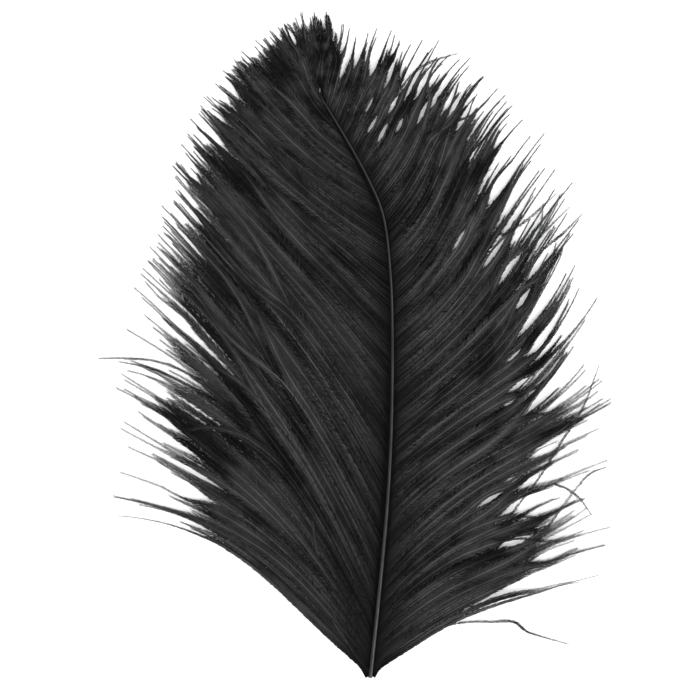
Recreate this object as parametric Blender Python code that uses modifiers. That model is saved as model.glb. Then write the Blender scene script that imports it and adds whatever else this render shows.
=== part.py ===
"""An ostrich feather dyed black: the top of a plume, cut off square at its base, lying flat.

X runs across the feather, Y along it from the cut base to the tip, and Z up from the surface it
lies on. The shaft is a thin tapered rod, bowed sideways and arched a few millimetres off the
surface. The two vanes are soft: each is a thin solid as wide and long as its barbs, raised to
the shaft along its inner edge and flat on the surface towards the barbs' tips.
"""

import math

import bmesh
import bpy
import numpy as np

MM = 0.001

# The shaft's centre line as (x, y) in millimetres, from the cut base to its hair-thin end.
SHAFT_LINE = [
    (4.5, -100.0),
    (7.0, -76.0),
    (9.7, -46.0),
    (10.9, -21.0),
    (11.1, 3.0),
    (10.6, 21.0),
    (8.6, 39.0),
    (3.9, 51.0),
    (-2.6, 63.0),
    (-9.2, 74.0),
    (-12.0, 79.0),
]
SHAFT_RADIUS_BASE = 0.65
SHAFT_RADIUS_END = 0.15
SHAFT_RINGS = 48
SHAFT_ARCH = 4.6  # how far the middle of the shaft rises
SHAFT_END_LIFT = 1.2  # how much higher its end lies than its base

# Each row is one barb: where it leaves the shaft (y), how steeply it leaves, where its tip is
# (x, y) and how steeply it arrives there. Lengths are millimetres, angles are degrees up from
# straight across the feather.
LEFT_BARBS = [
    (-99.0, 44, -73.0, -50.0, 6),
    (-95.0, 55, -72.0, -36.0, 20),
    (-90.0, 62, -73.0, -9.0, 30),
    (-86.0, 64, -78.5, -3.0, 10),
    (-82.0, 66, -66.0, 15.0, 40),
    (-72.0, 66, -63.0, 28.0, 45),
    (-45.0, 62, -58.0, 46.0, 47),
    (-8.0, 52, -52.0, 63.0, 48),
    (25.0, 38, -47.0, 74.0, 46),
    (38.0, 31, -43.0, 79.0, 43),
    (48.0, 30, -38.0, 86.0, 42),
    (62.0, 35, -28.0, 95.0, 50),
    (74.0, 42, -21.0, 99.0, 62),
    (79.0, 50, -14.4, 100.0, 86),
]
RIGHT_BARBS = [
    (-99.0, 42, 74.0, -69.0, 12),
    (-90.0, 46, 77.0, -54.0, 20),
    (-80.0, 48, 77.0, -40.0, 24),
    (-70.0, 50, 76.0, -26.0, 24),
    (-61.0, 50, 78.5, -14.0, 30),
    (-50.0, 48, 71.0, 0.0, 45),
    (-36.0, 46, 73.0, 18.0, 55),
    (-22.0, 44, 69.0, 36.0, 58),
    (-6.0, 43, 63.0, 52.0, 60),
    (10.0, 46, 57.0, 66.0, 62),
    (24.0, 48, 50.0, 77.0, 60),
    (36.0, 50, 43.0, 85.0, 60),
    (47.0, 52, 32.0, 91.0, 62),
    (57.0, 58, 20.0, 95.0, 68),
    (68.0, 66, 5.0, 99.0, 78),
    (79.0, 114, -12.2, 100.0, 92),
]
BARB_HANDLE = 0.36  # how much of its length a barb keeps its first and last direction
ROOT_GAP = 0.4  # between the shaft and a vane's inner edge

VANE_THICKNESS = 3.0  # at its thickest, a little inside the middle of the barbs
VANE_TIP_THICKNESS = 0.8
VANE_ROOT_PHASE = 0.15  # where on the thickness wave a barb's root lies
VANE_REST_START = 0.5  # the part of a barb's length after which it lies on the surface
VANE_ROWS = 45  # steps from the lowest barb to the highest
VANE_STEPS = 14  # steps along one barb

LEFT, RIGHT = -1, 1


def smooth_rows(table, at):
    """The table read at positions at, from 0 at its first row to 1 at its last: each column is a
    Catmull-Rom curve through the rows."""
    rows = np.asarray(table, float)
    ends = np.vstack([2 * rows[0] - rows[1], rows, 2 * rows[-1] - rows[-2]])
    place = np.clip(np.asarray(at, float), 0, 1) * (len(rows) - 1)
    first = np.minimum(place.astype(int), len(rows) - 2)
    t = (place - first)[..., None]
    a, b, c, d = (ends[first + i] for i in range(4))
    return b + 0.5 * t * (c - a + t * (2 * a - 5 * b + 4 * c - d + t * (3 * (b - c) + d - a)))


def shaft_at(part):
    """The shaft's centre (x, y, z) and its radius, part of the way from its base to its end."""
    x, y = smooth_rows(SHAFT_LINE, part)
    radius = SHAFT_RADIUS_BASE + (SHAFT_RADIUS_END - SHAFT_RADIUS_BASE) * part
    height = SHAFT_RADIUS_BASE + SHAFT_ARCH * math.sin(math.pi * part) + SHAFT_END_LIFT * part
    return np.array([x, y, height]), radius


def shaft_across(part):
    """The level direction square to the shaft, to its right."""
    step = 0.01
    back, on = smooth_rows(SHAFT_LINE, [max(part - step, 0), min(part + step, 1)])
    along = (on - back) / np.linalg.norm(on - back)
    return np.array([along[1], -along[0]])


def shaft_part_at(y):
    """How far along the shaft it reaches the length y."""
    parts = np.linspace(0, 1, 20 * len(SHAFT_LINE))
    return float(np.interp(y, smooth_rows(SHAFT_LINE, parts)[:, 1], parts))


def heading(side, degrees):
    """The direction, across the feather, of a barb on this side that climbs at this angle."""
    turn = math.radians(degrees)
    return np.array([side * math.cos(turn), math.sin(turn)])


def barb(side, table, row):
    """The four control points of one barb's curve, and the height at which it leaves the shaft."""
    root_y, leaves, tip_x, tip_y, arrives = smooth_rows(table, row)
    part = shaft_part_at(root_y)
    centre, radius = shaft_at(part)
    root = centre[:2] + side * (radius + ROOT_GAP) * shaft_across(part)
    tip = np.array([tip_x, tip_y])
    reach = BARB_HANDLE * np.linalg.norm(tip - root)
    first = root + reach * heading(side, leaves)
    last = tip - reach * heading(side, arrives)
    return (root, first, last, tip), centre[2]


def thickness_at(along):
    """The vane's thickness at a part of the barbs' length: half a wave above the thickness of
    the tips."""
    wave = math.sin(math.pi * (VANE_ROOT_PHASE + (1 - VANE_ROOT_PHASE) * along))
    return VANE_TIP_THICKNESS + (VANE_THICKNESS - VANE_TIP_THICKNESS) * wave


def underside(curve, height, along):
    """The underside of the vane at a part of one barb's length: the barb's curve in plan, and a
    slope that ends flat on the surface."""
    root, first, last, tip = curve
    back = 1 - along
    plan = (
        back**3 * root
        + 3 * back**2 * along * first
        + 3 * back * along**2 * last
        + along**3 * tip
    )
    slope = max(0.0, 1 - along / VANE_REST_START) ** 2
    lift = max(0.0, height - thickness_at(0) / 2)
    return (plan[0] * MM, plan[1] * MM, slope * lift * MM)


def material(name, colour, roughness):
    made = bpy.data.materials.new(name)
    made.use_nodes = True
    surface = made.node_tree.nodes["Principled BSDF"]
    surface.inputs["Base Color"].default_value = (*colour, 1)
    surface.inputs["Roughness"].default_value = roughness
    surface.inputs["Metallic"].default_value = 0
    return made


def make_shaft(collection):
    """The shaft: a round rod along its centre line, tapering from the cut base to its end."""
    line = bpy.data.curves.new("shaft", "CURVE")
    line.dimensions = "3D"
    line.bevel_depth = MM
    line.bevel_resolution = 2
    line.use_fill_caps = True
    spline = line.splines.new("POLY")
    spline.points.add(SHAFT_RINGS - 1)
    for point, part in zip(spline.points, np.linspace(0, 1, SHAFT_RINGS)):
        centre, radius = shaft_at(part)
        point.co = (*(centre * MM), 1)
        point.radius = radius
    shaft = bpy.data.objects.new("shaft", line)
    line.materials.append(material("dyed horn", (0.09, 0.085, 0.08), 0.4))
    collection.objects.link(shaft)
    return shaft


def make_vane(collection, name, side, table):
    """One vane: a grid whose rows follow the barbs from the shaft to their tips, given its
    thickness upwards."""
    sheet = bmesh.new()
    bmesh.ops.create_grid(sheet, x_segments=VANE_STEPS, y_segments=VANE_ROWS, size=0.5)
    depth = sheet.verts.layers.deform.verify()
    curves = {}
    for vert in sheet.verts:
        along, row = vert.co.x + 0.5, round(vert.co.y + 0.5, 6)
        if row not in curves:
            curves[row] = barb(side, table, row)
        vert[depth][0] = thickness_at(along) / VANE_THICKNESS
        vert.co = underside(*curves[row], along)
    if side == LEFT:
        bmesh.ops.reverse_faces(sheet, faces=sheet.faces)
    mesh = bpy.data.meshes.new(name)
    sheet.to_mesh(mesh)
    sheet.free()
    mesh.shade_smooth()
    mesh.materials.append(material(f"dyed barbs, {name}", (0.02, 0.021, 0.02), 0.6))
    vane = bpy.data.objects.new(name, mesh)
    vane.vertex_groups.new(name="thickness")
    body = vane.modifiers.new("Thickness", "SOLIDIFY")
    body.thickness = VANE_THICKNESS * MM
    body.offset = 1
    body.vertex_group = "thickness"
    collection.objects.link(vane)
    return vane


for old in list(bpy.data.objects):
    bpy.data.objects.remove(old, do_unlink=True)

feather = bpy.data.collections.new("ostrich feather")
bpy.context.scene.collection.children.link(feather)
make_shaft(feather)
make_vane(feather, "left_vane", LEFT, LEFT_BARBS)
make_vane(feather, "right_vane", RIGHT, RIGHT_BARBS)
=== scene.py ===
import math

import bpy
import numpy as np
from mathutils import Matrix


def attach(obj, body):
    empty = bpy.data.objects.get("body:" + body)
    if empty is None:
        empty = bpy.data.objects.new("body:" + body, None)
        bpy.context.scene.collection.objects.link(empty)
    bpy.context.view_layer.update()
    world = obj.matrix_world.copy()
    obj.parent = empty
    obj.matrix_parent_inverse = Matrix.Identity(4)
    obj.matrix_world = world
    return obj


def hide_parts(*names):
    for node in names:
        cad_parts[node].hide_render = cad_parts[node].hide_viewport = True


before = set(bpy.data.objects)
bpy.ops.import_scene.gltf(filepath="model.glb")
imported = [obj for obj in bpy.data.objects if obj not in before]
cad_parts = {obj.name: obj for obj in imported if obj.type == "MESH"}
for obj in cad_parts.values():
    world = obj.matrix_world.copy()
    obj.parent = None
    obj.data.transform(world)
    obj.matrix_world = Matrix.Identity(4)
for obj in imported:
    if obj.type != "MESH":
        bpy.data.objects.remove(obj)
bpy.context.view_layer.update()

# ---------------------------------------------------------------------------------------------
# The shaft. A thin rod of horn, bowed and a little arched, dyed with the feather but paler than
# the barbs. It was cut off square at its base, where the dry pith shows. The barbs grow from
# its two sides.

MM = 0.001


class Wire:
    """A node's output. Python's own operators on it add Math nodes."""

    def __init__(self, tree, socket):
        self.tree = tree
        self.socket = socket

    def node(self, kind, settings=None, **values):
        """Adds a node, sets it up, gives its inputs numbers or wires, and returns its outputs."""
        made = self.tree.nodes.new(kind)
        for name, value in (settings or {}).items():
            setattr(made, name, value)
        for name, value in values.items():
            entry = made.inputs[int(name[1:])]
            if isinstance(value, Wire):
                self.tree.links.new(value.socket, entry)
            else:
                entry.default_value = value
        return [Wire(self.tree, out) for out in made.outputs]

    def math(self, operation, *values):
        """A Math node that does this operation on these numbers or wires."""
        inputs = {f"_{i}": value for i, value in enumerate(values)}
        return self.node("ShaderNodeMath", {"operation": operation}, **inputs)[0]

    def blend(self, low, high):
        """Two colours mixed by this wire: low where it is 0, and high where it is 1."""
        settings = {"data_type": "RGBA"}
        return self.node("ShaderNodeMix", settings, _0=self, _6=low, _7=high)[2]

    def step(self, start, end):
        """0 before start and 1 after end, smooth between."""
        settings = {"interpolation_type": "SMOOTHSTEP"}
        return self.node("ShaderNodeMapRange", settings, _0=self, _1=start, _2=end)[0]

    def __add__(self, other):
        return self.math("ADD", self, other)

    def __sub__(self, other):
        return self.math("SUBTRACT", self, other)

    def __rsub__(self, other):
        return self.math("SUBTRACT", other, self)

    def __mul__(self, other):
        return self.math("MULTIPLY", self, other)

    __radd__, __rmul__ = __add__, __mul__


def new_finish(name, **constants):
    """A material with one Principled shader whose inputs have these constants: the material, a
    wire to start its nodes from, and the shader."""
    made = bpy.data.materials.new(name)
    made.use_nodes = True
    shader = made.node_tree.nodes["Principled BSDF"]
    for entry, value in constants.items():
        shader.inputs[entry.replace("_", " ")].default_value = value
    return made, Wire(made.node_tree, None), shader


# The dyed horn has a painted highlight on its ridge and painted shade on its sides, and both ridge
# and sides are paler at the cut base. Where the shaft is hair thin, it has one colour all round.
HIGHLIT_RIDGE_AT_BASE = (0.095, 0.088, 0.081, 1)
HIGHLIT_RIDGE = (0.055, 0.0525, 0.049, 1)
SHADED_SIDES_AT_BASE = (0.014, 0.013, 0.012, 1)
SHADED_SIDES = (0.008, 0.0075, 0.007, 1)
HAIR_THIN = (0.032, 0.031, 0.03, 1)
PITH = (0.12, 0.108, 0.09, 1)
# Where these colours give way to each other, as y along the feather.
BASE_FADES = (-105 * MM, -30 * MM)
HAIR_THIN_FADES = (30 * MM, 75 * MM)
PITH_FADES = (-99.7 * MM, -100 * MM)
FIBRE_STRETCH = (4000, 90, 4000)  # fibres to a metre: fine across the shaft, long along it


def horn_finish():
    """Dyed horn: a painted highlight on the ridge where the surface faces up, brightest on the
    ridge's right half, towards the lamp, and streaked by fine lengthwise fibre, with painted shade on
    the sides, and dry pith at the cut."""
    made, start, shader = new_finish("dyed_horn_and_painted_light", Roughness=0.4, Specular_IOR_Level=0.15)
    coordinates = start.node("ShaderNodeTexCoord")
    facing, place = coordinates[1], coordinates[3]
    along = place.node("ShaderNodeSeparateXYZ", _0=place)[1]
    multiply = {"operation": "MULTIPLY"}
    stretched = place.node("ShaderNodeVectorMath", multiply, _0=place, _1=FIBRE_STRETCH)[0]
    fibre = place.node("ShaderNodeTexNoise", _0=stretched, _2=1.0, _3=3.0)[0]
    past_base = along.step(*BASE_FADES)
    # pale is the colour of the ridge's painted highlight, and deep the colour of the sides' painted
    # shade.
    pale = past_base.blend(HIGHLIT_RIDGE_AT_BASE, HIGHLIT_RIDGE)
    deep = past_base.blend(SHADED_SIDES_AT_BASE, SHADED_SIDES)
    rightward, _, upward = facing.node("ShaderNodeSeparateXYZ", _0=facing)
    # The painted highlight falls where the surface faces up, and is stronger on the ridge's right
    # half, towards the lamp. Everywhere else gets the painted side shade.
    ridge = upward.step(0.8, 0.95) * (0.3 + rightward.step(-0.5, 0.5) * 0.7)
    ridge = ridge * (0.35 + fibre.step(0.3, 0.6) * 0.65)
    dyed = along.step(*HAIR_THIN_FADES).blend(ridge.blend(deep, pale), HAIR_THIN)
    colour = along.step(*PITH_FADES).blend(dyed, PITH)
    made.node_tree.links.new(colour.socket, shader.inputs["Base Color"])
    return made


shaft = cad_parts["shaft"]
shaft.data.materials.clear()
shaft.data.materials.append(horn_finish())
RING_APART = 1 * MM  # rings are further apart along the feather than this, one ring's points less


def rings_of(node):
    """The node's points in order along the feather, parted into rings wherever the next one is
    more than RING_APART further on: each ring's middle, and its radius."""
    points = np.empty(3 * len(node.data.vertices))
    node.data.vertices.foreach_get("co", points)
    points = np.unique(points.reshape(-1, 3).round(7), axis=0)
    points = points[np.argsort(points[:, 1])]
    rings = np.split(points, np.flatnonzero(np.diff(points[:, 1]) > RING_APART) + 1)
    middles = np.array([ring.mean(0) for ring in rings])
    reaches = [np.linalg.norm(ring - ring.mean(0), axis=1).max() for ring in rings]
    return middles, np.array(reaches)


shaft_line, shaft_radius = rings_of(shaft)

# ---------------------------------------------------------------------------------------------
# The two vanes. Each is some 260 soft barbs that leave the shaft one above the other. A barb is
# a hair of horn with two rows of long barbules, and neighbours cling together towards their
# ends, so that a vane's rim is made of pointed locks.

LEFT, RIGHT = -1, 1

# How the barbs run, from the lowest to the highest: where one leaves the shaft (y), how steeply,
# where its tip lies (x, y) and how steeply it arrives. Lengths are millimetres, and angles are
# degrees up from straight across the feather.
LEFT_RUN = [
    (-100.0, 43, -73.0, -50.0, 6),
    (-95.0, 55, -72.0, -36.0, 20),
    (-90.0, 62, -73.0, -9.0, 30),
    (-86.0, 64, -75.0, -3.0, 20),
    (-82.0, 66, -66.0, 15.0, 40),
    (-72.0, 66, -63.0, 28.0, 45),
    (-45.0, 62, -58.0, 46.0, 47),
    (-8.0, 52, -52.0, 63.0, 48),
    (25.0, 38, -47.0, 74.0, 46),
    (38.0, 31, -43.0, 79.0, 43),
    (48.0, 30, -38.0, 86.0, 42),
    (62.0, 35, -28.0, 95.0, 50),
    (74.0, 50, -18.0, 99.0, 66),
    (79.0, 104, -7.0, 100.0, 84),
]
RIGHT_RUN = [
    (-100.0, 39, 74.0, -69.0, 12),
    (-90.0, 46, 77.0, -54.0, 20),
    (-80.0, 48, 77.0, -40.0, 24),
    (-70.0, 50, 76.0, -26.0, 24),
    (-61.0, 50, 78.0, -14.0, 34),
    (-50.0, 46, 71.0, 0.0, 50),
    (-37.0, 42, 73.0, 18.0, 58),
    (-24.0, 39, 69.0, 36.0, 58),
    (-9.0, 38, 63.0, 52.0, 54),
    (6.0, 39, 57.0, 66.0, 48),
    (20.0, 40, 50.0, 77.0, 42),
    (33.0, 42, 43.0, 85.0, 42),
    (47.0, 50, 32.0, 91.0, 52),
    (57.0, 58, 20.0, 95.0, 64),
    (68.0, 66, 5.0, 99.0, 78),
    (79.0, 100, -11.0, 100.0, 90),
]
# Where the locks end (x, y), in millimetres, from the lowest to the highest.
LEFT_LOCKS = [
    (-73, -50), (-73, -43), (-71, -39), (-72, -36), (-69, -30), (-71, -23), (-66, -19),
    (-68, -14), (-73, -9), (-69, -3), (-62, 2), (-70, 6), (-64, 10), (-66, 15), (-67, 19),
    (-65, 25), (-63, 28), (-62, 32), (-62, 35), (-60, 39), (-59, 43), (-55, 46), (-56, 52),
    (-55, 56), (-52, 59), (-53, 62), (-51, 64), (-50, 66), (-51, 70), (-48, 71), (-47, 74),
    (-46, 77), (-44, 79), (-42, 81), (-40, 82), (-40, 85), (-38, 87), (-35, 88), (-34, 91),
    (-31, 92), (-30, 94), (-28, 95), (-26, 97), (-23, 98), (-21, 99), (-19, 100), (-17, 102),
    (-15, 101), (-13, 102), (-11, 101), (-9, 102),
]
RIGHT_LOCKS = [
    (74, -69), (68, -62), (77, -60), (77, -54), (71, -50), (72, -45), (76, -42), (77, -35),
    (70, -30), (75, -24), (70, -19), (79, -14), (74, -9), (69, -5), (66, 2), (70, 8),
    (71, 13), (73, 17), (69, 20), (68, 24), (67, 28), (63, 31), (64, 35), (66, 38), (69, 41),
    (64, 43), (63, 46), (60, 49), (65, 51), (59, 53), (61, 55), (57, 57), (55, 59), (56, 62),
    (59, 65), (53, 66), (51, 69), (48, 71), (50, 74), (46, 75), (47, 78), (43, 80), (45, 82),
    (40, 83), (38, 85), (35, 85), (35, 88), (31, 88), (29, 90), (25, 91), (26, 93), (22, 92),
    (20, 95), (17, 93), (15, 95), (12, 95), (10, 97), (7, 97), (5, 99), (1, 97), (-1, 99),
    (-4, 101), (-8, 99),
]
# How the locks are: the place up the vane from 0 to 1, how deep they part there in millimetres,
# how fuzzy their edges are from 0 to 1, and how far they wander sideways, where 1 is a millimetre.
LEFT_HABIT = [
    (0.0, 28, 0.9, 0.9),
    (0.2, 27, 0.9, 0.8),
    (0.35, 25, 0.7, 0.7),
    (0.5, 17, 0.4, 0.6),
    (0.62, 12, 0.15, 0.6),
    (0.77, 7, 0.1, 0.5),
    (1.0, 3, 0.1, 0.4),
]
RIGHT_HABIT = [
    (0.0, 30, 1.0, 1.2),
    (0.15, 38, 1.0, 1.5),
    (0.3, 36, 0.8, 1.5),
    (0.45, 34, 0.4, 1.5),
    (0.6, 28, 0.3, 1.3),
    (0.75, 26, 0.2, 1.0),
    (0.9, 22, 0.15, 0.7),
    (1.0, 8, 0.1, 0.5),
]
# Eyes: places inside the vanes where two locks part and meet again. Each is its middle (x, y),
# its length along the barbs and its width, in millimetres.
LEFT_EYES = [
    (-19, 94, 7, 1.0), (-38, 80, 6, 0.8), (-53, 8, 12, 2.2), (-58, -22, 9, 1.0),
    (-52, -44, 10, 1.6), (-60, -36, 9, 1.0),
]
RIGHT_EYES = [
    (5, 86, 12, 1.8), (-4, 85, 9, 0.9), (10, 82, 11, 0.9), (4, 73, 6, 0.7), (5, 67, 6, 0.9),
    (8, 65, 8, 1.0), (11, 73, 6, 0.7), (13, 67, 4, 0.9), (20, 80, 9, 1.4), (20, 71, 11, 1.0),
    (24, 82, 12, 1.2), (28, 74, 9, 1.4), (33, 70, 7, 1.2), (38, 77, 8, 1.2), (45, 66, 8, 1.0),
    (35, 58, 8, 0.6), (43, 49, 13, 1.6), (31, 32, 9, 1.7), (41, 28, 14, 1.8), (46, 23, 11, 1.9),
    (50, 14, 9, 1.4), (56, 2, 12, 1.6), (47, -3, 8, 0.7), (49, -11, 9, 1.7), (46, -17, 5, 0.8),
    (57, -31, 10, 1.6), (40, -46, 12, 1.5), (46, -40, 5, 0.8), (49, -47, 13, 2.0),
    (57, -49, 13, 1.2), (47, -59, 17, 1.8), (58, -63, 8, 1.8), (54, -71, 7, 0.8),
]

# One vane's barbs. Lengths along a barb are parts of its length, from 0 at its root to 1.
BARBS = 264
BARB_RINGS = 26
BARB_HANDLE = 0.42  # how much of its length a barb keeps its first and last direction
BARB_RADIUS = 0.10 * MM  # half its thickness at its root
BARB_TIP_RADIUS = 0.06 * MM
ROOT_WIDTH = 0.75 * MM  # half the width of its flattened root
ROOT_END = 0.04
FLAT_WIDTH = 0.32 * MM  # half its width from ROOT_END to FLAT_END
FLAT_END = 0.55
ROUND_START = 0.8
ROOT_BESIDE = 0.5  # of the shaft's radius: how far to the side of its middle a barb starts
ROOT_BELOW = 0.4  # of the shaft's radius: how far below its middle
# The cut at the base holds the lowest barbs together.
CUT_REACH = 0.06  # the part of the vane that it holds
CUT_SPREAD = 0.5 * MM  # how far beside the shaft the lowest barbs lie where they were cut off
CUT_PINCH = 1.2 * MM  # how far they are drawn in further on
CUT_PINCH_AT = 0.05
CUT_CLOSE = 8  # how many of the lowest barbs have their barbules pressed close
# Some barbs stray to a neighbouring lock.
STRAY_SHARE = 0.1
STRAY_START = 0.4  # where along them they leave their own
# How high the barbs lie.
REST_HEIGHT = 0.35 * MM  # of the lowest barbs above the surface that the feather lies on
REST_START = 0.5  # where a barb has come down to it
LOFT = 3.6 * MM  # between the lowest barbs and the topmost, where a vane is thickest
# The eyes. EYE_FADE and EYE_CLOSE are distances to the side of an eye's long axis.
EYE_ENDS = 6 * MM  # how much longer than an eye the barbs are parted
EYE_MARGIN = 0.25 * MM  # how much further than half its width they move away
EYE_FADE = 2 * MM  # over which the parting dies away
EYE_CLOSE = 1.5 * MM  # over which the barbules lie close
# The barbules, and a piece's map, on which each barb has a column.
BARBULE_APART = 0.188 * MM  # between the barbules on one side of a barb
BARBULE_LENGTH = 3.3 * MM
BARBULE_WIDTH = 0.22 * MM
LOWEST_BARBULE = 0.03 * MM  # above the surface
COLUMNS = 66  # as many as one piece has barbs
MAP_PER_METRE = 260  # how many columns wide a metre to the side of a barb is there


def read_rows(table, place):
    """The table's columns at places from 0, its first row, to 1, its last: a Catmull-Rom curve
    through the rows."""
    rows = np.asarray(table, float)
    ends = np.vstack([2 * rows[0] - rows[1], rows, 2 * rows[-1] - rows[-2]])
    at = np.clip(place, 0, 1) * (len(rows) - 1)
    first = np.minimum(at.astype(int), len(rows) - 2)
    t = (at - first)[..., None]
    a, b, c, d = (ends[first + i] for i in range(4))
    return b + 0.5 * t * (c - a + t * (2 * a - 5 * b + 4 * c - d + t * (3 * (b - c) + d - a)))


def on_vane(side, run, place, along):
    """The point (x, y) of a vane at a place up it, and part of the way along the barb there: a
    cubic Bezier curve from the shaft's side to the barb's tip, whose two handles point the ways
    the barb leaves and arrives. The cut draws the lowest barbs in by x e^(1 - x), which is most
    at CUT_PINCH_AT. The second result is the height of the barb's root on the shaft."""
    root_y, leaves, tip_x, tip_y, arrives = np.moveaxis(read_rows(run, place), -1, 0)
    root_y = root_y * MM
    centre_x, centre_z, radius = (
        np.interp(root_y, shaft_line[:, 1], values)
        for values in (shaft_line[:, 0], shaft_line[:, 2], shaft_radius)
    )
    lowest = np.maximum(0, 1 - place / CUT_REACH)
    beside = ROOT_BESIDE * radius + CUT_SPREAD * lowest
    root = np.stack([centre_x + side * beside, root_y], -1)
    tip = np.stack([tip_x, tip_y], -1) * MM
    reach = BARB_HANDLE * np.linalg.norm(tip - root, axis=-1)[..., None]
    out, up = (np.radians(angle) for angle in (leaves, arrives))
    first = root + reach * np.stack([side * np.cos(out), np.sin(out)], -1)
    last = tip - reach * np.stack([side * np.cos(up), np.sin(up)], -1)
    s = along[..., None]
    flat = (1 - s) ** 3 * root + 3 * (1 - s) ** 2 * s * first + 3 * (1 - s) * s**2 * last
    flat = flat + s**3 * tip
    near_cut = along / CUT_PINCH_AT * np.exp(1 - along / CUT_PINCH_AT)
    flat = flat - (CUT_PINCH * lowest * near_cut)[..., None] * np.array([side, 0])
    return flat, centre_z - ROOT_BELOW * radius


def smooth(x):
    """0 up to 0, 1 from 1 on, and 3x^2 - 2x^3 between."""
    x = np.clip(x, 0, 1)
    return x * x * (3 - 2 * x)


def unit(vectors):
    """The vectors divided by their lengths."""
    return vectors / np.linalg.norm(vectors, axis=-1, keepdims=True)


def sway(group, s, dice):
    """A slow sideways wave along each barb, at most a millimetre wide: each group of barbs has a
    sine wave of its own, that grows from nothing at the root."""
    groups = group.max() + 1
    size = dice.uniform(-1, 1, groups)[group][:, None]
    turns = dice.uniform(0.5, 1.3, groups)[group][:, None]
    start = dice.random(groups)[group][:, None]
    return MM * size * s**1.5 * np.sin(2 * np.pi * (turns * s + start))


def open_eyes(flat, loose, eyes, dice):
    """Parts the barbs at each eye: those to either side of its long axis move away from it by
    half its width and EYE_MARGIN, times (1 - x^2)^1.5 towards its ends, times a falling exponential
    to the side, and no two alike. Their barbules lie close there."""
    for x, y, length, width in MM * np.array(eyes, float):
        apart = flat - (x, y)
        far = np.linalg.norm(apart, axis=2)
        barb, ring = np.unravel_index(far.argmin(), far.shape)
        step = flat[barb, min(ring + 1, flat.shape[1] - 1)] - flat[barb, ring - 1]
        ahead = step / np.linalg.norm(step)
        square = np.array([-ahead[1], ahead[0]])
        on, off = apart @ ahead, apart @ square
        nearest = far.argmin(1)[:, None]
        side = np.where(np.take_along_axis(off, nearest, 1) > 0, 1.0, -1.0)
        swell = np.clip(1 - (2 * on / (length + EYE_ENDS)) ** 2, 0, 1) ** 1.5
        push = (0.5 * width + EYE_MARGIN) * swell * np.exp(-np.abs(off) / EYE_FADE)
        push = push * dice.uniform(0.4, 1.5, (len(flat), 1))
        flat = flat + (side * push)[..., None] * square
        close = 0.75 * swell * np.exp(-((off / EYE_CLOSE) ** 2))
        loose = np.minimum(loose, 1 - smooth(close))
    return flat, loose


def barb_homes(roots, edge, fine, dice):
    """Each barb's place up its vane, from 0 to 1. They are set so that the mean of their spacing
    at the shaft and at the tips is even."""
    apart = sum(np.linalg.norm(np.diff(line, axis=0), axis=1) for line in (roots, edge))
    measure = np.append(0, np.cumsum(apart)) / apart.sum()
    return np.interp((np.arange(BARBS) + dice.uniform(0.25, 0.75, BARBS)) / BARBS, measure, fine)


def lock_places(locks, edge, fine):
    """The locks in order up the vane: the place of each, how far its tip lies from the vane's even
    edge, and the borders below and above the locks, midway between their places."""
    tips = MM * np.array(locks, float)
    nearest = np.linalg.norm(edge[None] - tips[:, None], axis=2).argmin(1)
    order = np.argsort(nearest, kind="stable")
    tips, nearest = tips[order], nearest[order]
    middle = fine[nearest]
    border = np.concatenate([[-0.01], 0.5 * (middle[1:] + middle[:-1]), [1.01]])
    return middle, tips - edge[nearest], border


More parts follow.
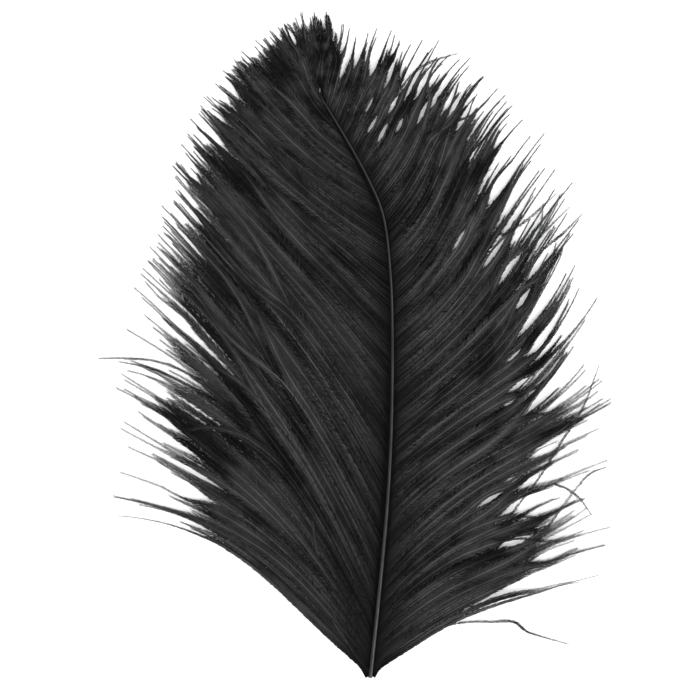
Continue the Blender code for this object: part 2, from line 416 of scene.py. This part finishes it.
def barb_lines(side, run, locks, habit, eyes, dice):
    """The centre lines of one vane's barbs, as barbs x rings x (x, y, z), the lowest barb first,
    how loosely the barbules stand off them and how thin these are, as barbs x rings.

    Past the place where its lock parts from the next, each barb gathers nearly halfway to the
    middle of its lock, and further on into one of the lock's three strands. Some stray to a
    neighbouring lock, over the others. Slow waves and a curl that grows as the fourth power of
    the length move a barb sideways."""
    fine = np.linspace(0, 1, 2000)
    roots = on_vane(side, run, fine, 0 * fine)[0]
    edge = on_vane(side, run, fine, 0 * fine + 1)[0]
    home = barb_homes(roots, edge, fine, dice)
    middle, shift, border = lock_places(locks, edge, fine)

    # The lock that each barb is in, how far it is from the lock's middle, and where locks part.
    lock = np.searchsorted(border, home) - 1
    offset = home - middle[lock]
    half = np.where(offset > 0, border[lock + 1] - middle[lock], middle[lock] - border[lock])
    across = np.abs(offset) / np.maximum(half, 1e-6)
    up, *habits = np.array(habit).T
    depth, fuzz, wander = (np.interp(border, up, values) for values in habits)
    chord = np.interp(border, fine, np.linalg.norm(edge - roots, axis=1))
    parts_at = 1 - depth * MM * dice.uniform(0.5, 1.7, len(border)) / chord
    start = np.clip(parts_at, 0.2, 0.95)[lock + (offset > 0)][:, None]
    fuzz, wander = fuzz[lock][:, None], wander[lock][:, None]

    stray = dice.random(BARBS) < STRAY_SHARE
    start = np.where(stray[:, None], STRAY_START, start)
    jump = np.where(stray, dice.choice([-2, -1, 1, 2], BARBS), 0)
    lock = np.clip(lock + jump, 0, len(middle) - 1)

    # The strand that each barb is in, where that leads, and how short of the lock's tip it ends.
    third = np.clip(((offset / half + 1) * 1.5).astype(int), 0, 2)
    strand = 3 * lock + third
    strands = 3 * len(middle)
    splay = dice.uniform(0.35, 1.1, len(middle))[lock]
    aim = splay * (third - 1 + dice.uniform(-0.4, 0.4, strands)[strand])
    goal = (middle[lock] + 0.8 * aim * half)[:, None]
    shorter = np.where(third == 1, 0.0, 0.55 * dice.random(strands)[strand])
    shorter = shorter + 0.2 * dice.random(BARBS) ** 2
    length = 1 - (1 - start[:, 0]) * shorter * (1 - 0.6 * stray)

    # How far each point along it has gone over to its lock's middle, and then to its strand.
    part = np.linspace(0, 1, BARB_RINGS)
    s = part * length[:, None]
    gather = 0.4 * smooth((s - start) / (0.6 * (1 - start)))
    branch = start + (1 - start) * dice.uniform(0.0, 0.5, strands)[strand][:, None]
    into = 0.96 * smooth((s - branch) / (0.6 * (1 - branch)))
    place = (1 - gather) * home[:, None] + gather * middle[lock][:, None]
    flat, root_z = on_vane(side, run, (1 - into) * place + into * goal, s)
    flat = flat + shift[lock][:, None] * part[:, None] ** 4

    ahead = unit(np.gradient(flat, axis=1))
    wave = wander * (sway(lock, s, dice) + 0.5 * sway(strand, s, dice))
    wave = wave + 0.4 * sway(np.arange(BARBS), s, dice)
    curl = (0.4 + 0.8 * fuzz) * MM * dice.normal(0, 1, (BARBS, 1)) * s**4
    flat = flat + (wave + curl)[..., None] * np.stack([-ahead[..., 1], ahead[..., 0]], -1)

    loose = 1 - smooth((s - start) / (0.7 * (1 - start))) * (1 - 0.6 * fuzz)
    loose = loose * (0.35 + 0.65 * smooth(np.arange(BARBS) / CUT_CLOSE))[:, None]
    thin = fuzz * smooth((s - start) / (0.5 * (1 - start)))
    flat, loose = open_eyes(flat, loose, eyes, dice)

    # Its layer, from 0 for the lowest barbs to 1 for the topmost and more for a stray, sets how
    # high it lies where the vane is puffed up. From its root on the shaft it comes down as the
    # square of what is left of its length to REST_START.
    layer = 0.6 * dice.random(len(middle))[lock] + 0.2 * (1 - across**2) + 0.2 * dice.random(BARBS)
    layer = np.where(stray, 1.2, layer)[:, None]
    relief = 0.25 + 0.75 * smooth((s - 0.25) / 0.4)
    puffed = smooth(s / 0.25) * (1 - 0.65 * smooth((s - 0.5) / 0.5))
    slope = np.maximum(0, 1 - s / REST_START) ** 2
    lift = LOFT * (0.5 + (layer - 0.5) * relief) * puffed
    z = REST_HEIGHT + (root_z - REST_HEIGHT) * slope + lift
    return np.concatenate([flat, z[..., None]], -1), loose, thin


def barb_tubes(lines, columns, flat_widths):
    """Each barb as a four-sided tube along its line, closed at both ends. Its thickness tapers
    evenly. Its width is flattened at the root and less so as far as FLAT_END, and falls evenly
    until it is round. Its points, its faces and the faces' places on the map: across by the
    barb's column, up by its length."""
    barbs, rings = lines.shape[:2]
    forward = unit(np.gradient(lines, axis=1))
    across = unit(np.cross(forward, (0, 0, 1)))
    up = np.cross(across, forward)
    part = np.linspace(0, 1, rings)[None, :, None, None]
    radius = BARB_RADIUS + (BARB_TIP_RADIUS - BARB_RADIUS) * part
    turn = np.radians([0, 90, 180, 270])[None, None, :, None]
    at_root, further_on = flat_widths
    changes = (0, ROOT_END, FLAT_END, ROUND_START)
    width = np.interp(part, changes, (at_root, further_on, further_on, 0))
    width = np.maximum(width, radius)
    ring = width * np.cos(turn) * across[:, :, None] + radius * np.sin(turn) * up[:, :, None]
    points = lines[:, :, None] + ring
    index = np.arange(barbs * rings * 4).reshape(barbs, rings, 4)
    near, far = index[:, :-1], index[:, 1:]
    walls = np.stack([near, np.roll(near, -1, 2), np.roll(far, -1, 2), far], -1)
    caps = np.stack([index[:, 0, ::-1], index[:, -1]], 1)
    faces = np.concatenate([walls.reshape(-1, 4), caps.reshape(-1, 4)])
    beside = MAP_PER_METRE * width[..., 0] * np.cos(turn[..., 0])
    u = (columns[:, None, None] + 0.5 + beside) / COLUMNS
    v = 0.01 + 0.98 * part[..., 0] + 0.002 * np.sin(turn[..., 0])
    uv = np.stack(np.broadcast_arrays(u, v), -1).reshape(-1, 2)
    return points.reshape(-1, 3), faces, uv[faces]


def barbules(lines, loose, thin, columns, dice, length=BARBULE_LENGTH, apart=BARBULE_APART):
    """The barbules of these barbs, each a slim blade of four corners: two on the barb, one at
    its tip, and one that bows its outer edge. They leave forward and outward, alternately to
    the left and right, and droop a little. Where loose is 1 they stand off the barb at a third
    of a right angle or so, and where it is 0 they are short and cling to it, as they do towards
    its tip. They are broadest near the shaft, and slimmer where thin is more."""
    rings = lines.shape[1]
    full = np.linalg.norm(np.diff(lines, axis=1), axis=2).sum(1)
    count = np.maximum((2 * full / apart).astype(int), 2)
    barb = np.repeat(np.arange(len(lines)), count)
    rank = np.arange(count.sum()) - np.repeat(np.cumsum(count) - count, count)
    s = (rank + dice.uniform(0.1, 0.9, len(rank))) / count[barb]
    at = s * (rings - 1)
    ring = np.minimum(at.astype(int), rings - 2)
    part = at - ring

    def here(values):
        """Values given at the barbs' rings, read between the two rings beside each barbule."""
        weight = part.reshape(-1, *[1] * (values.ndim - 2))
        return values[barb, ring] * (1 - weight) + values[barb, ring + 1] * weight

    root, stand = here(lines), here(loose)
    forward = unit(here(unit(np.gradient(lines, axis=1))))
    side = np.where(rank % 2, 1.0, -1.0)[:, None]
    outward = side * unit(np.cross(forward, (0, 0, 1)))

    number = len(rank)
    lean = stand * (1 - 0.6 * smooth((s - 0.45) / 0.35))
    slant = np.radians(12 + 21 * lean + dice.normal(0, 1, number) * (2 + 6 * lean))[:, None]
    droop = np.radians(dice.normal(16, 12, number) + 22 * smooth(1 - s / 0.08))[:, None]
    shape = (0.35 + 0.65 * stand) * (1 - 0.35 * smooth((s - 0.8) / 0.2))
    shape = shape * (0.75 + 0.25 * smooth((s - 0.15) / 0.35))
    blade = (length * shape * dice.uniform(0.7, 1.1, number))[:, None]
    down = np.array([0, 0, -1.0])
    heading = np.cos(slant) * forward
    heading += np.sin(slant) * (np.cos(droop) * outward + np.sin(droop) * down)
    slim = 1.6 - 0.6 * smooth(s / 0.4) - (0.2 + 0.55 * here(thin)) * smooth((s - 0.6) / 0.3)
    slim = slim * (0.25 + 0.75 * shape)
    width = BARBULE_WIDTH * (slim * dice.uniform(0.7, 1.2, number))[:, None]
    roll = dice.normal(0, 0.35, number)[:, None] * down
    tip = root + blade * heading
    bow = root + 0.5 * blade * heading + width * (outward + roll)
    ahead = root + width * (forward - roll)
    corners = np.stack([root, bow, tip, ahead], 1)
    corners[..., 2] = np.maximum(corners[..., 2], LOWEST_BARBULE)

    # On the map they lie beside their barb, out to nearly half a column.
    v_tip = s + (blade[:, 0] * np.cos(slant[:, 0])) / full[barb]
    spot = np.stack([s, 0.5 * (s + v_tip), v_tip, s + width[:, 0] / full[barb]], 1)
    out = np.array([0.0, 0.3, 0.46, 0.02])[None] * side
    u = (columns[barb][:, None] + 0.5 + out) / COLUMNS
    uv = np.stack([u, 0.01 + 0.98 * np.clip(spot, 0, 1)], -1)
    faces = np.arange(4 * number).reshape(-1, 4)
    turned = side[:, 0] < 0
    faces[turned] = faces[turned][:, ::-1]
    uv[turned] = uv[turned][:, ::-1]
    return corners.reshape(-1, 3), faces, uv


def fibre_piece(
        name, lines, loose, thin, finish, dice, flat_widths=(ROOT_WIDTH, FLAT_WIDTH), **sizes):
    """One piece of barbs: their tubes and barbules, joined in one mesh of quads."""
    columns = np.arange(len(lines))
    tubes = barb_tubes(lines, columns, flat_widths)
    blades = barbules(lines, loose, thin, columns, dice, **sizes)
    points = np.concatenate([tubes[0], blades[0]])
    faces = np.concatenate([tubes[1], blades[1] + len(tubes[0])])
    uv = np.concatenate([tubes[2], blades[2]])
    mesh = bpy.data.meshes.new(name)
    mesh.vertices.add(len(points))
    mesh.vertices.foreach_set("co", points.astype(np.float32).ravel())
    mesh.loops.add(faces.size)
    mesh.loops.foreach_set("vertex_index", faces.astype(np.int32).ravel())
    mesh.polygons.add(len(faces))
    mesh.polygons.foreach_set("loop_start", np.arange(0, faces.size, 4, dtype=np.int32))
    mesh.polygons.foreach_set("use_smooth", np.arange(len(faces)) < len(tubes[1]))
    mesh.update(calc_edges=True)
    layer = mesh.uv_layers.new(name="OFBake", do_init=False)
    layer.uv.foreach_set("vector", uv.astype(np.float32).ravel())
    mesh.materials.append(finish)
    piece = bpy.data.objects.new(name, mesh)
    bpy.context.scene.collection.objects.link(piece)
    return piece


# The barbules' and the barbs' horn's darkest and palest tones, spread by uneven dye and by painted
# sheen, and the painted shade beside the shaft.
DARK_BARBULES = (0.005, 0.0052, 0.005, 1)
PALE_BARBULES = (0.042, 0.043, 0.042, 1)
DARK_HORN = (0.016, 0.0165, 0.016, 1)
PALE_HORN = (0.085, 0.087, 0.085, 1)
SHADE_BESIDE_SHAFT = (0.003, 0.003, 0.003, 1)


def barb_finish(name, paleness, shaded_part):
    """Dyed barbs. On the map a barb is one column, with its horn up the middle and its barbules
    to both sides. Beside the shaft they are painted nearly black, as painted shade. Further out the
    tone varies a lock at a time, as painted satin sheen, and barb by barb, as uneven dye, and grows
    lighter along the barbs; the horn is a shade lighter, partly its own colour and partly painted
    sheen."""
    made, start, shader = new_finish(name, Roughness=0.5, IOR=1.4, Specular_IOR_Level=0.04)
    place = start.node("ShaderNodeUVMap", {"uv_map": "OFBake"})[0]
    across, along, _ = place.node("ShaderNodeSeparateXYZ", _0=place)
    column = across * COLUMNS
    number = column.math("FLOOR", column)
    middle = column - number - 0.5
    lateral = middle.math("ABSOLUTE", middle)

    def blotches(per_barb, per_length, low, high):
        """Soft noise from 0 to 1, that changes this fast from barb to barb and along them."""
        scaled = {"_0": number * per_barb, "_1": along * per_length}
        spot = place.node("ShaderNodeCombineXYZ", **scaled)[0]
        return place.node("ShaderNodeTexNoise", _0=spot, _2=1.0, _3=2.0)[0].step(low, high)

    # Painted sheen: blotches a few barbs wide and a lock long stand in for the satin streaks of light
    # on the locks.
    sheen_by_lock = blotches(0.33, 3, 0.32, 0.68)
    by_barb = blotches(3.7, 9, 0.3, 0.7)
    dye = place.node("ShaderNodeTexWhiteNoise", {"noise_dimensions": "1D"}, _1=number)[0]
    tone = (sheen_by_lock * 0.5 + by_barb * 0.2 + dye * 0.3).step(0.15, 0.85)
    # paleness scales the tone: painted light, paler on the right vane, towards the lamp.
    tone = tone * (0.65 + along.step(0.1, 0.8) * 0.65) * paleness
    barbule = tone.blend(DARK_BARBULES, PALE_BARBULES)
    # The horn's paler tone is partly its own colour and partly a painted sheen along each barb.
    horn = tone.blend(DARK_HORN, PALE_HORN)
    further_out = lateral.step(0.1, 0.0).blend(barbule, horn)
    # Painted shade: next to the shaft the barbs are painted nearly black, out to the given part of
    # their length.
    colour = along.step(-0.03, shaded_part).blend(SHADE_BESIDE_SHAFT, further_out)
    made.node_tree.links.new(colour.socket, shader.inputs["Base Color"])
    return made


# Each vane is four pieces, a quarter of its barbs in each, and each has its own material.
QUARTERS = ("base", "lower", "upper", "top")
# How pale each quarter's barbs are painted. The right vane is painted paler than the left, as painted
# light from the lamp on the right, and the quarters of each vane differ a little.
LEFT_PALENESS = (0.85, 0.95, 0.82, 0.76)
RIGHT_PALENESS = (1.15, 1.12, 1.1, 1.05)
# How far out from the shaft the painted shade beside it reaches, in each quarter.
SHADED_PART = (0.28, 0.2, 0.17, 0.17)  # of the barbs' length, from the shaft, in each quarter
SEED = 7

for side, vane, paleness, *design in (
    (LEFT, "left", LEFT_PALENESS, LEFT_RUN, LEFT_LOCKS, LEFT_HABIT, LEFT_EYES),
    (RIGHT, "right", RIGHT_PALENESS, RIGHT_RUN, RIGHT_LOCKS, RIGHT_HABIT, RIGHT_EYES),
):
    dice = np.random.default_rng(SEED + side)
    quarters = [np.split(values, len(QUARTERS)) for values in barb_lines(side, *design, dice)]
    for part, pale, shaded, *quarter in zip(QUARTERS, paleness, SHADED_PART, *quarters):
        barb_dye_and_painted_light = barb_finish(f"dyed_barbs_{vane}_{part}", pale, shaded)
        piece = fibre_piece(f"{vane}_barbs_{part}", *quarter, barb_dye_and_painted_light, dice)
        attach(piece, "root")
        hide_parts(f"{vane}_vane")

# ---------------------------------------------------------------------------------------------
# Stray barbs. A few thin barbs of horn have come loose from their locks: they lie over the others
# or past the vanes' edges, with short sparse barbules. All still grow from the shaft, and start
# here where they come out from among the rest.

# Each is where it runs (x, y), and how high it starts and ends, in millimetres.
STRAYS = [
    ([(-30, -22), (-40, -14), (-50, -8), (-60, -4), (-70, -3), (-78, -3)], 2.4, 0.5),
    ([(-42, -16), (-53, -10), (-62, -6), (-72, -4)], 2.0, 0.5),
    ([(4, -98), (-2, -90), (-9, -74), (-12, -60), (-14, -46), (-19, -30), (-26, -12), (-33, 0)],
     2.0, 3.2),
    ([(3, -97), (-6, -84), (-14, -70), (-19, -57), (-28, -46)], 2.0, 2.4),
    ([(18, -88), (28, -84), (35, -83), (42, -83), (48, -83), (52, -86), (58, -88), (65, -90)],
     1.6, 0.3),
    ([(44, -54), (55, -40), (62, -29), (69, -18), (74, -5)], 2.6, 1.2),
    ([(48, -66), (56, -57), (62, -49), (70, -39), (76, -36)], 2.6, 1.2),
    ([(60, -41), (64, -42.5), (68, -45.5), (72, -51)], 2.6, 1.2),
    ([(12, 76), (17, 83), (23, 87), (31, 89.5)], 1.5, 1.6),
    ([(42, 16), (49, 26), (57, 35), (65, 43)], 2.6, 1.2),
    ([(50, 18), (53, 27), (56, 36), (57, 44)], 2.9, 1.4),
    ([(50, 24), (58, 31), (63, 35), (69, 41)], 2.6, 1.2),
    ([(44, 34), (52, 39), (61, 47)], 2.6, 1.2),
]
STRAY_RINGS = 26
STRAY_BARBULES = {"length": 1.2 * MM, "apart": 0.4 * MM}
STRAY_SEED = 21

dice = np.random.default_rng(STRAY_SEED)
along = np.linspace(0, 1, STRAY_RINGS)
stray_lines = np.array([
    np.column_stack([read_rows(route, along), start + (end - start) * smooth(along)])
    for route, start, end in STRAYS
])
loose = np.full(stray_lines.shape[:2], 0.9)
thin = np.full(stray_lines.shape[:2], 0.5)
# They are round from root to tip, and share the material of the last barbs made, the right vane's
# top,
# # with its dye, its painted shade and its painted sheen.
strays = fibre_piece("stray_barbs", MM * stray_lines, loose, thin, barb_dye_and_painted_light, dice,
                     flat_widths=(0, 0), **STRAY_BARBULES)
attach(strays, "root")
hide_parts("left_vane", "right_vane")

# ---------------------------------------------------------------------------------------------
# The table top and the light: a plain white floor under a soft even sky, with one large lamp
# above and to the right, and the camera straight above.

FLOOR_HALF = 3
floor_corners = [(FLOOR_HALF * x, FLOOR_HALF * y, 0) for x, y in ((-1, -1), (1, -1), (1, 1), (-1, 1))]
floor_mesh = bpy.data.meshes.new("floor")
floor_mesh.from_pydata(floor_corners, [], [(0, 1, 2, 3)])
floor = bpy.data.objects.new("floor", floor_mesh)
bpy.context.scene.collection.objects.link(floor)
floor_paint, _, floor_shader = new_finish("white_floor", Roughness=0.9, Specular_IOR_Level=0.1)
floor_shader.inputs["Base Color"].default_value = (0.9, 0.9, 0.9, 1)
floor_shader.inputs["Emission Color"].default_value = (1, 1, 1, 1)
floor_shader.inputs["Emission Strength"].default_value = 0.3
floor_mesh.materials.append(floor_paint)

world = bpy.data.worlds.new("studio")
bpy.context.scene.world = world
world.use_nodes = True
sky = world.node_tree.nodes["Background"]
sky.inputs["Color"].default_value = (1, 1, 1, 1)
sky.inputs["Strength"].default_value = 1.0

LAMP_SIZE = 0.6
LAMP_POWER = 5
LAMP_PLACE = (0.4, -0.3, 0.9)
light = bpy.data.lights.new("key", "AREA")
light.size = LAMP_SIZE
light.energy = LAMP_POWER
lamp = bpy.data.objects.new("key", light)
bpy.context.scene.collection.objects.link(lamp)
lamp.location = LAMP_PLACE
# It faces the middle of the feather: tilted from straight down, then turned about the vertical.
lamp_tilt = math.acos(LAMP_PLACE[2] / np.linalg.norm(LAMP_PLACE))
lamp_turn = math.atan2(LAMP_PLACE[1], LAMP_PLACE[0]) + math.pi / 2
lamp.rotation_euler = (lamp_tilt, 0, lamp_turn)

CAMERA_PLACE = (-1.66 * MM, -0.45 * MM, 0.503)
camera_data = bpy.data.cameras.new("camera")
camera_data.lens = 85
camera_data.sensor_width = 36
camera = bpy.data.objects.new("camera", camera_data)
bpy.context.scene.collection.objects.link(camera)
camera.location = CAMERA_PLACE
bpy.context.scene.camera = camera
bpy.context.scene.view_settings.view_transform = "Standard"
